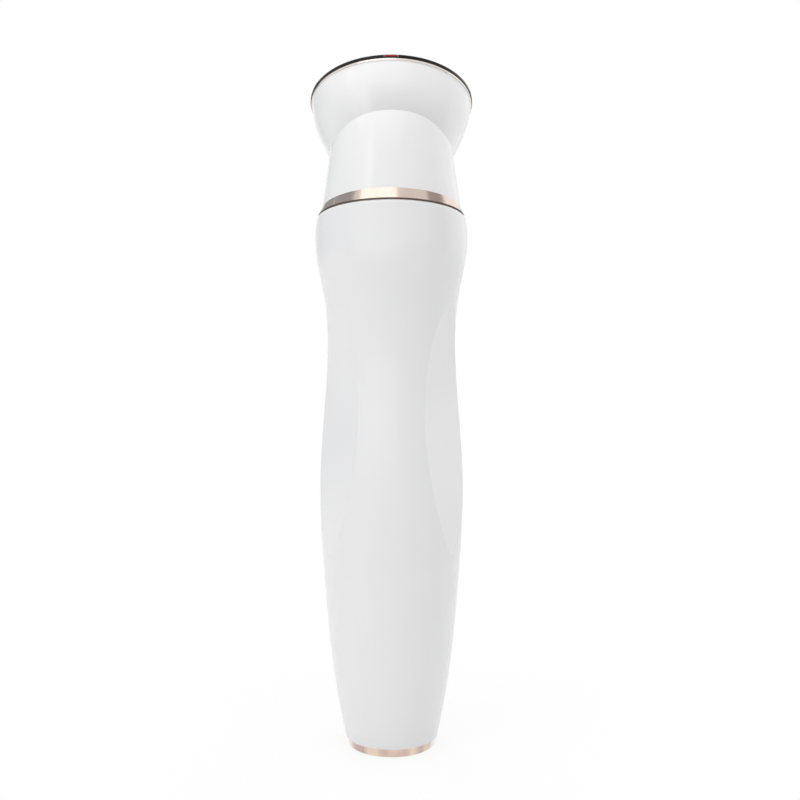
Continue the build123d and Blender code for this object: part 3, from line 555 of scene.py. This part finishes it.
def add_band(bm, surface, rails, rise, closed=False):
    """Low closed band that follows a surface. Rails are pairs of edge points (x, z)."""
    rings = []
    for left, right in rails:
        corners = [(*left, -rise), (*right, -rise), (*right, rise), (*left, rise)]
        rings.append([bm.verts.new((x, front_depth(surface, x, z) + lift, z)) for x, z, lift in corners])
    spans = list(zip(rings, rings[1:]))
    if closed:
        spans.append((rings[-1], rings[0]))
    else:
        bm.faces.new(rings[0])
        bm.faces.new(rings[-1])
    for near, far in spans:
        for i in range(4):
            j = (i + 1) % 4
            bm.faces.new((near[i], near[j], far[j], far[i]))


def arc_rails(z, radius, width, start, end, steps=40):
    """Rails of an arc about (0, z), from start to end in degrees clockwise from the top."""
    rails, radii = [], (radius - width / 2, radius + width / 2)
    for i in range(steps + 1):
        a = math.radians(start + (end - start) * i / steps)
        rails.append([(r * math.sin(a), z + r * math.cos(a)) for r in radii])
    return rails


def bar_rails(start, end, width, steps=4):
    """Rails of a straight bar between two points (x, z)."""
    start, end = Vector(start), Vector(end)
    side = (end - start).normalized().orthogonal() * width / 2
    return [(tuple(start.lerp(end, i / steps) - side), tuple(start.lerp(end, i / steps) + side))
            for i in range(steps + 1)]


def middle_of(node):
    """Middle of a CAD node's box."""
    low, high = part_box(node)
    return (Vector(low) + Vector(high)) / 2


def bowl_crease():
    """Spot at the bowl's back where the neck's top meets it, as shares of the bowl's box. It is the middle
    of the bowl's painted shade.
    """
    low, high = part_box("head_cup")
    depth_share, height_share = 0.85, 0.56
    return (0, depth_share * high[1], low[2] + height_share * (high[2] - low[2]))


# ---------------------------------------------------------------- marks
def power_mark(z, stroke):
    """Broken ring with an upright bar in its gap."""
    arc = arc_rails(z, 1.6 * MM, stroke, 35, 325)
    return [(arc, False), (bar_rails((0, z + 0.5 * MM), (0, z + 2.1 * MM), stroke), False)]


def light_mark(z, stroke):
    """Small sun: a ring with eight short rays."""
    rays = []
    for i in range(8):
        a = math.tau * i / 8
        inner, outer = [(r * math.sin(a), z + r * math.cos(a)) for r in (1.25 * MM, 1.95 * MM)]
        rays.append((bar_rails(inner, outer, 0.8 * stroke), False))
    return [(arc_rails(z, 0.7 * MM, stroke, 0, 351), True), *rays]


def level_mark(z, stroke):
    """Three bars that rise from left to right."""
    foot = z - 1.3 * MM
    return [(bar_rails((x * MM, foot), (x * MM, foot + tall * MM), 1.3 * stroke), False)
            for x, tall in ((-1.1, 1.0), (0.0, 1.8), (1.1, 2.6))]


MARKS = {"power": power_mark, "mode": light_mark, "level": level_mark}


def add_numeral(bm, surface, text, spot, height, rise):
    """Number as a thin closed solid on a surface."""
    curve = bpy.data.curves.new("numeral", "FONT")
    curve.body = text
    curve.size = height
    curve.align_x = "CENTER"
    curve.resolution_u = 3
    letter = bpy.data.objects.new("numeral", curve)
    flat = bpy.data.meshes.new_from_object(letter)
    front = [bm.verts.new((spot[0] + v.co.x, 0, spot[1] + v.co.y)) for v in flat.vertices]
    faces = [bm.faces.new([front[i] for i in p.vertices]) for p in flat.polygons]
    bmesh.ops.remove_doubles(bm, verts=front, dist=0.001 * MM)
    faces = [face for face in faces if face.is_valid]
    made = bmesh.ops.extrude_face_region(bm, geom=faces)["geom"]
    back = [v for v in made if isinstance(v, bmesh.types.BMVert)]
    front = [v for v in front if v.is_valid]
    for verts, lift in ((front, -rise), (back, rise)):
        for v in verts:
            v.co.y = front_depth(surface, v.co.x, v.co.z) + lift
    bpy.data.objects.remove(letter)
    bpy.data.meshes.remove(flat)
    bpy.data.curves.remove(curve)


# ---------------------------------------------------------------- base screws
def circle_loop(bm, centre, radius, z, count=40):
    """Closed loop of vertices about an upright axis."""
    angles = [math.tau * i / count for i in range(count)]
    return [bm.verts.new((centre.x + radius * math.cos(a), centre.y + radius * math.sin(a), z))
            for a in angles]


def cross_loop(bm, centre, reach, width, z):
    """Closed loop of a cross with four equal arms."""
    half = width / 2
    arm = [(half, half), (reach, half), (reach, -half)]
    loop = []
    for quarter in range(4):
        a = -math.tau * quarter / 4
        for x, y in arm:
            loop.append(bm.verts.new((centre.x + x * math.cos(a) - y * math.sin(a),
                                      centre.y + x * math.sin(a) + y * math.cos(a), z)))
    return loop


def join_loops(bm, first, second):
    """Wall between two closed loops of equal count."""
    for i in range(len(first)):
        j = (i + 1) % len(first)
        bm.faces.new((first[i], first[j], second[j], second[i]))


def add_cross_screw(bm, centre, low, high, head_r):
    """Countersunk screw that faces down: a cross recess in its head and a plain shank."""
    shank_r, head_t, edge = head_r / 2, 1.1 * MM, 0.15 * MM
    rings = [circle_loop(bm, centre, r, z) for r, z in (
        (head_r - edge, low), (head_r, low + edge), (head_r, low + head_t),
        (shank_r, low + head_t), (shank_r, high - shank_r / 2), (shank_r / 2, high))]
    for first, second in zip(rings, rings[1:]):
        join_loops(bm, first, second)
    bm.faces.new(rings[-1])
    mouth = cross_loop(bm, centre, 0.62 * head_r, 0.24 * head_r, low)
    floor = cross_loop(bm, centre, 0.40 * head_r, 0.16 * head_r, low + 0.6 * head_t)
    join_loops(bm, mouth, floor)
    bm.faces.new(floor)
    rim = []
    for loop in (rings[0], mouth):
        rim += [bm.edges.get((v, loop[(i + 1) % len(loop)])) for i, v in enumerate(loop)]
    bmesh.ops.triangle_fill(bm, edges=rim, use_beauty=True)


# ---------------------------------------------------------------- operators
class WAND_OT_grip(bpy.types.Operator):
    """Finish the two grip shells and the base plate"""
    bl_idname = "wand.grip"
    bl_label = "Grip"

    def execute(self, context):
        paint(silky_abs(context.scene.wand_finishes.grip_white), "front_shell", "rear_shell", "base_plate")
        soften(context.scene.wand_sizes.edge_softness, "front_shell", "rear_shell")
        return {"FINISHED"}


class WAND_OT_head(bpy.types.Operator):
    """Finish the neck, the bowl and the front panel"""
    bl_idname = "wand.head"
    bl_label = "Neck, bowl and panel"

    def execute(self, context):
        color = context.scene.wand_finishes.head_white
        paint(polished_abs(color), "neck_shell", "control_panel", "head_frame")
        # The bowl's finish paints shade about the spot where the neck's top meets it.
        paint(bowl_abs_painted_shade(color, bowl_crease()), "head_cup")
        return {"FINISHED"}


class WAND_OT_trim(bpy.types.Operator):
    """Finish the rose-gold collar, base ring, trim ring, charging contacts and buttons"""
    bl_idname = "wand.trim"
    bl_label = "Rose-gold trim"

    def execute(self, context):
        color = context.scene.wand_finishes.rose_gold
        paint(rose_gold_plate("rose_gold_plate", color), "collar_ring", "charge_contacts")
        paint(rose_gold_plate("champagne_plate", context.scene.wand_finishes.trim_gold), "trim_ring")
        # The base ring's finish paints reflection streaks and a white highlight at its edges into its
        # colour.
        paint(drawn_rose_gold_painted_reflections(color), "base_ring")
        for button in MARKS:
            node = f"{button}_button"
            paint(spun_rose_gold(color, middle_of(node).z), node)
        return {"FINISHED"}


class WAND_OT_face(bpy.types.Operator):
    """Finish the treatment face: bezel, plate, light ring, lens, electrodes and sensor"""
    bl_idname = "wand.face"
    bl_label = "Treatment face"

    def execute(self, context):
        colors = context.scene.wand_finishes
        low, high = [Vector(corner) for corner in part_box("face_plate")]
        tilt = math.atan2(high.z - low.z, high.y - low.y)
        middle = middle_of("face_plate")
        paint(black_polycarbonate(colors.face_black), "face_bezel")
        paint(diamond_turned_black(colors.face_black, tuple(-middle), tilt), "face_plate")
        paint(red_acrylic(colors.lamp_red), "light_ring", "rim_light_lens")
        paint(polished_electrode(colors.electrode), "skin_sensor", *[f"electrode_{i}" for i in range(1, 5)])
        return {"FINISHED"}


class WAND_OT_inside(bpy.types.Operator):
    """Finish the pieces inside the housing"""
    bl_idname = "wand.inside"
    bl_label = "Inside"

    def execute(self, context):
        paint(frosted_polycarbonate(), "indicator_guide")
        paint(glass_filled_nylon(), "chassis")
        paint(shrink_film(), "battery_cell")
        paint(cell_foam(), "battery_strap")
        # The gasket's warm grey is partly painted shade for the recessed gap under the collar.
        paint(gap_shade_silicone(), "collar_gasket")
        paint(zinc_steel(), "motor_shaft", "vibration_weight", "shell_screws", "neck_screws", "head_screws")
        paint(drawn_steel(), "vibration_motor")
        paint(solder_mask(), "main_board", "lamp_board")
        paint(lamp_body(), "indicator_leds", "lamp_leds")
        paint(laminated_ribbon(), "head_ribbon")
        paint(taped_winding(), "boost_transformer")
        switches = [f"{button}_{part}" for button in MARKS for part in ("switch", "plunger")]
        paint(moulding_compound(), "board_chips", "ribbon_sockets", *switches)
        return {"FINISHED"}


class WAND_OT_marks(bpy.types.Operator):
    """Print a mark on each button and a number over each indicator"""
    bl_idname = "wand.marks"
    bl_label = "Printed marks"

    def execute(self, context):
        sizes = context.scene.wand_sizes
        ink = printed_ink("white_ink", "#FAFAFA")
        for button, mark in MARKS.items():
            node = f"{button}_button"
            bm = bmesh.new()
            for rails, closed in mark(middle_of(node).z, sizes.mark_stroke):
                add_band(bm, surface_of(node), rails, sizes.mark_rise, closed)
            add_piece(f"{button}_mark", bm, ink, node)
        add_numbers(sizes)
        return {"FINISHED"}


def add_numbers(sizes):
    """Row of numbers from 1 over the indicators, spaced as the indicators are."""
    low, high = [Vector(corner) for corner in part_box("indicator_leds")]
    count, lamp_w, gap = 5, 1.0 * MM, 1.3 * MM
    pitch = (high.x - low.x - lamp_w) / (count - 1)
    row_z = (low.z + high.z) / 2 + gap
    surface = surface_of("control_panel")
    bm = bmesh.new()
    for i in range(count):
        x = (i - (count - 1) / 2) * pitch
        add_numeral(bm, surface, str(i + 1), (x, row_z), sizes.numeral_height, sizes.mark_rise)
    add_piece("indicator_numbers", bm, printed_ink("rose_ink", "#9C8172"), HOUSING)


class WAND_OT_screws(bpy.types.Operator):
    """Put two cross-recessed screws in the base"""
    bl_idname = "wand.screws"
    bl_label = "Base screws"

    def execute(self, context):
        low, high = [Vector(corner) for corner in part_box("base_screws")]
        head_r = (high.x - low.x) / 2
        bm = bmesh.new()
        for y in (low.y + head_r, high.y - head_r):
            add_cross_screw(bm, Vector((0, y, 0)), low.z, high.z, head_r)
        screws = add_piece("base_cross_screws", bm, zinc_steel(), HOUSING)
        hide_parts("base_screws")
        return {"FINISHED"}


class WAND_OT_studio(bpy.types.Operator):
    """Build the floor, the light and the camera"""
    bl_idname = "wand.studio"
    bl_label = "Studio"

    def execute(self, context):
        studio = context.scene.wand_studio
        make_world(studio)
        make_floor()
        make_lamps(studio)
        make_cards()
        make_camera(studio)
        return {"FINISHED"}


# ---------------------------------------------------------------- studio
def seen_directly(tree):
    """1 for rays that show the background itself: from the camera, off gloss or through glass."""
    path = add_node(tree, "ShaderNodeLightPath")
    near = add_node(tree, "ShaderNodeMath", None,
                    {0: path.outputs["Is Camera Ray"], 1: path.outputs["Is Glossy Ray"]},
                    operation="MAXIMUM")
    return add_node(tree, "ShaderNodeMath", None,
                    {0: near.outputs[0], 1: path.outputs["Is Transmission Ray"]},
                    operation="MAXIMUM").outputs[0]


def make_world(studio):
    """Even white surround that lights the wand at a plain level and shows as white."""
    world = bpy.data.worlds.new("studio_surround")
    bpy.context.scene.world = world
    world.use_nodes = True
    tree = world.node_tree
    tree.nodes.clear()
    lit = add_node(tree, "ShaderNodeBackground", {"Color": linear("#FFFFFF"), "Strength": studio.fill_light})
    seen = add_node(tree, "ShaderNodeBackground", {"Color": linear("#FFFFFF"), "Strength": 1.0})
    mix = add_node(tree, "ShaderNodeMixShader", None,
                   {"Fac": seen_directly(tree), 1: lit.outputs[0], 2: seen.outputs[0]})
    add_node(tree, "ShaderNodeOutputWorld", links={"Surface": mix.outputs[0]})


def make_stage_plane(name, corners, material):
    """Single-sheet part of the studio."""
    mesh = bpy.data.meshes.new(name)
    mesh.from_pydata(corners, [], [(0, 1, 2, 3)])
    mesh.materials.append(material)
    plane = bpy.data.objects.new(name, mesh)
    bpy.context.scene.collection.objects.link(plane)
    return plane


def make_floor():
    """White table top that keeps a soft shadow under the base and turns plain white away from it."""
    half, drop = 1.5, 0.02 * MM
    material, tree, place = new_finish("white_table")
    card = add_node(tree, "ShaderNodeBsdfDiffuse", {"Color": linear("#F4F4F4")})
    white = add_node(tree, "ShaderNodeEmission", {"Color": linear("#FFFFFF"), "Strength": 1.0})
    away = add_node(tree, "ShaderNodeVectorMath", None, {0: place}, operation="LENGTH")
    share = add_node(tree, "ShaderNodeMapRange",
                     {"From Min": 20 * MM, "From Max": 110 * MM, "To Min": 0.86, "To Max": 1.0},
                     {"Value": away.outputs["Value"]}, interpolation_type="SMOOTHSTEP")
    mostly = add_node(tree, "ShaderNodeMath", None, {0: seen_directly(tree), 1: share.outputs["Result"]},
                      operation="MULTIPLY")
    mix = add_node(tree, "ShaderNodeMixShader", None,
                   {"Fac": mostly.outputs[0], 1: card.outputs[0], 2: white.outputs[0]})
    add_node(tree, "ShaderNodeOutputMaterial", links={"Surface": mix.outputs[0]})
    corners = [(-half, -half, -drop), (half, -half, -drop), (half, half, -drop), (-half, half, -drop)]
    make_stage_plane("floor", corners, material)


def add_lamp(name, size, spot, power):
    """Soft rectangular lamp at a spot, turned to the wand. Reflections show the cards in its place."""
    data = bpy.data.lights.new(name, "AREA")
    data.shape = "RECTANGLE"
    data.size, data.size_y = size
    data.energy = power
    lamp = bpy.data.objects.new(name, data)
    lamp.location = spot
    lamp.rotation_euler = (STUDIO_AIM - spot).to_track_quat("-Z", "Y").to_euler()
    lamp.visible_glossy = False
    bpy.context.scene.collection.objects.link(lamp)


STUDIO_AIM = Vector((0, 0, 100 * MM))


def studio_spot(bearing, rise, distance):
    """Spot in the studio. The bearing runs from +Y towards +X, the rise up from level, in degrees."""
    b, r = math.radians(bearing), math.radians(rise)
    out = Vector((math.sin(b) * math.cos(r), math.cos(b) * math.cos(r), math.sin(r)))
    return STUDIO_AIM + out * distance


# Soft boxes: name, bearing, rise, distance, wide, tall, share of the key light's power
LAMPS = (
    ("ceiling_box", 0, 80, 0.9, 0.60, 0.60, 2.50),
    ("side_box", 52, 24, 0.9, 0.35, 0.35, 1.10),
    ("front_box", 155, 38, 0.9, 0.45, 0.45, 1.20),
    ("rim_box", -130, 36, 0.9, 0.40, 0.40, 0.90),
)

# Cards that only reflections see: name, colour, strength, bearing, rise, distance, wide, tall
CARDS = (
    ("rear_card", "#FFFFFF", 1.9, 20, 0, 0.60, 0.66, 0.17),
    ("roof_card", "#FFFFFF", 1.7, 20, 58, 0.60, 0.70, 0.40),
    ("neck_stripe_card", "#FFFFFF", 2.8, 41, 29, 0.43, 0.07, 0.12),
    ("grip_stripe_card", "#FFFFFF", 2.6, 64, -5, 0.35, 0.025, 0.05),
    ("bowl_card", "#FFFFFF", 3.0, 73, 38, 0.60, 0.12, 0.12),
    ("left_flag", "#B2B9C0", 1.0, 84, 6, 0.62, 0.52, 0.26),
    ("front_left_flag", "#B2B9C0", 1.0, 130, 2, 0.60, 0.46, 0.30),
    ("right_flag", "#B9B5B2", 1.0, -76, 6, 0.60, 0.36, 0.20),
    ("right_card", "#FFFFFF", 1.35, -125, 6, 0.60, 0.60, 0.60),
)


def make_lamps(studio):
    """Soft boxes of the table."""
    for name, bearing, rise, distance, wide, tall, share in LAMPS:
        add_lamp(name, (wide, tall), studio_spot(bearing, rise, distance), studio.key_light * share)


def make_cards():
    """Cards of the table, turned to the wand."""
    for name, code, strength, bearing, rise, distance, wide, tall in CARDS:
        material, tree, _ = new_finish(name)
        path = add_node(tree, "ShaderNodeLightPath")
        clear = add_node(tree, "ShaderNodeBsdfTransparent")
        glow = add_node(tree, "ShaderNodeEmission", {"Color": linear(code), "Strength": strength})
        mix = add_node(tree, "ShaderNodeMixShader", None,
                       {"Fac": path.outputs["Is Glossy Ray"], 1: clear.outputs[0], 2: glow.outputs[0]})
        add_node(tree, "ShaderNodeOutputMaterial", links={"Surface": mix.outputs[0]})
        spot = studio_spot(bearing, rise, distance)
        across = (spot - STUDIO_AIM).cross(Vector((0, 0, 1))).normalized() * wide / 2
        up = across.cross(spot - STUDIO_AIM).normalized() * tall / 2
        corners = [spot - across - up, spot + across - up, spot + across + up, spot - across + up]
        make_stage_plane(name, corners, material)


def make_camera(studio):
    """Camera behind the wand, a little above it."""
    data = bpy.data.cameras.new("camera")
    data.lens = studio.lens
    camera = bpy.data.objects.new("camera", data)
    back = Vector((0, math.cos(studio.camera_pitch), math.sin(studio.camera_pitch)))
    camera.location = Vector((studio.side_step, 0, studio.aim_height)) + back * studio.camera_distance
    camera.rotation_euler = (math.pi / 2 - studio.camera_pitch, 0, math.pi)
    bpy.context.scene.collection.objects.link(camera)
    bpy.context.scene.camera = camera
    bpy.context.scene.view_settings.view_transform = "Standard"


# ---------------------------------------------------------------- panel and registration
class WAND_PT_pieces(bpy.types.Panel):
    """Lists the operators that build the wand"""
    bl_idname = "WAND_PT_pieces"
    bl_label = "Toning Wand"
    bl_space_type = "VIEW_3D"
    bl_region_type = "UI"
    bl_category = "Toning Wand"

    def draw(self, context):
        for operator in OPERATORS:
            self.layout.operator(operator.bl_idname)


OPERATORS = (WAND_OT_grip, WAND_OT_head, WAND_OT_trim, WAND_OT_face, WAND_OT_inside, WAND_OT_marks,
             WAND_OT_screws, WAND_OT_studio)
SETTINGS = {"wand_finishes": WandFinishes, "wand_sizes": WandSizes, "wand_studio": WandStudio}


def register():
    for group in SETTINGS.values():
        bpy.utils.register_class(group)
    for name, group in SETTINGS.items():
        setattr(bpy.types.Scene, name, PointerProperty(type=group))
    for operator in OPERATORS:
        bpy.utils.register_class(operator)
    bpy.utils.register_class(WAND_PT_pieces)


def unregister():
    bpy.utils.unregister_class(WAND_PT_pieces)
    for operator in reversed(OPERATORS):
        bpy.utils.unregister_class(operator)
    for name in SETTINGS:
        delattr(bpy.types.Scene, name)
    for group in SETTINGS.values():
        bpy.utils.unregister_class(group)


def main():
    register()
    bpy.ops.wand.grip()
    bpy.ops.wand.head()
    bpy.ops.wand.trim()
    bpy.ops.wand.face()
    bpy.ops.wand.inside()
    bpy.ops.wand.marks()
    bpy.ops.wand.screws()
    bpy.ops.wand.studio()


if __name__ == "__main__":
    main()
